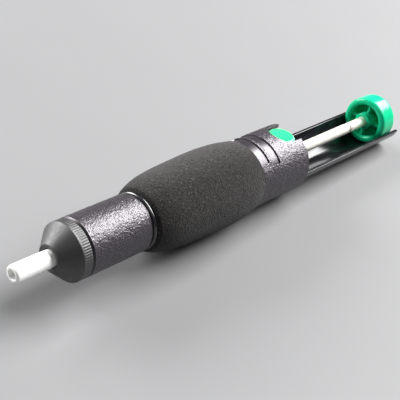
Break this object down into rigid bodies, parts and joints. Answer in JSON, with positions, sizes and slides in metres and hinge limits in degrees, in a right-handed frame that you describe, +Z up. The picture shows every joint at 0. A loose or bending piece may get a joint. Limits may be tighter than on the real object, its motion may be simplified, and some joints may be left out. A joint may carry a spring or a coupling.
{
  "type": "desoldering pump",
  "caption": "Spring-loaded hand pump that sucks up molten solder through a heat-resistant nozzle, with a foam grip, a latched plunger, a release button and a plunger guard.",
  "frame": {"origin": "centre of the nozzle's mouth", "axes": "+X along the pump's axis from the nozzle to the plunger knob, +Z up through the release button, and +Y to the left of someone who looks along +X"},
  "size_m": [0.1819, 0.0276, 0.0276],
  "materials": {
    "textured_shell": "black, crinkled like leather, with a slight sheen",
    "satin_black": "smooth satin black",
    "gloss_black": "glossy black",
    "black_rubber": "smooth black rubber",
    "grey_rubber": "silicone",
    "cylinder_aluminium": "drawn tube",
    "foam": "matt closed-cell foam with fine grain",
    "inner_plastic": "natural acetal",
    "spring_steel": "drawn wire",
    "bright_steel": "bright",
    "rod_steel": "polished",
    "mint_green": "moulded, mint green",
    "button_green": "moulded, bright green",
    "white_ptfe": "white heat-resistant plastic"
  },
  "bodies": {
    "body": {"front_barrel": "textured_shell", "cap_o_ring": "black_rubber", "cylinder": "cylinder_aluminium", "trim_ring": "gloss_black", "foam_grip": "foam", "spring_seat": "inner_plastic", "main_spring": "spring_steel", "piston_bumper": "grey_rubber", "rod_guide": "inner_plastic", "rear_housing": "textured_shell", "end_plug": "satin_black", "plunger_guard": "gloss_black", "button_spring": "spring_steel"},
    "plunger": {"piston": "inner_plastic", "piston_o_ring": "black_rubber", "cleaning_needle": "bright_steel", "plunger_rod": "rod_steel", "piston_clip": "spring_steel", "plunger_knob": "mint_green", "knob_screw": "bright_steel"},
    "button": {"release_button": "button_green", "latch_plate": "bright_steel"},
    "nozzle": {"nozzle_tip": "white_ptfe", "nozzle_seal": "grey_rubber"},
    "cap": {"nozzle_cap": "satin_black"}
  },
  "joints": [
    {"name": "plunger_slide", "type": "slide", "parent": "body", "child": "plunger", "axis": [-1, 0, 0], "range_m": [0, 0.0453], "stiffness_N_per_m": 500, "springref_m": -0.012, "deforming": ["main_spring"]},
    {"name": "button_press", "type": "slide", "parent": "body", "child": "button", "axis": [0, 0, -1], "range_m": [0, 0.0018], "stiffness_N_per_m": 300, "springref_m": -0.001, "deforming": ["button_spring"]},
    {"name": "nozzle_travel", "type": "slide", "parent": "body", "child": "nozzle", "axis": [-1, 0, 0], "range_m": [0, 0.0038]},
    {"name": "cap_unscrew", "type": "hinge", "parent": "nozzle", "child": "cap", "pos_m": [0.0194, 0, 0], "axis": [-1, 0, 0], "range_deg": [0, 1080]}
  ],
  "couplings": [
    {"joint": "nozzle_travel", "follows": "cap_unscrew", "m_per_rad": 0.00019894}
  ]
}
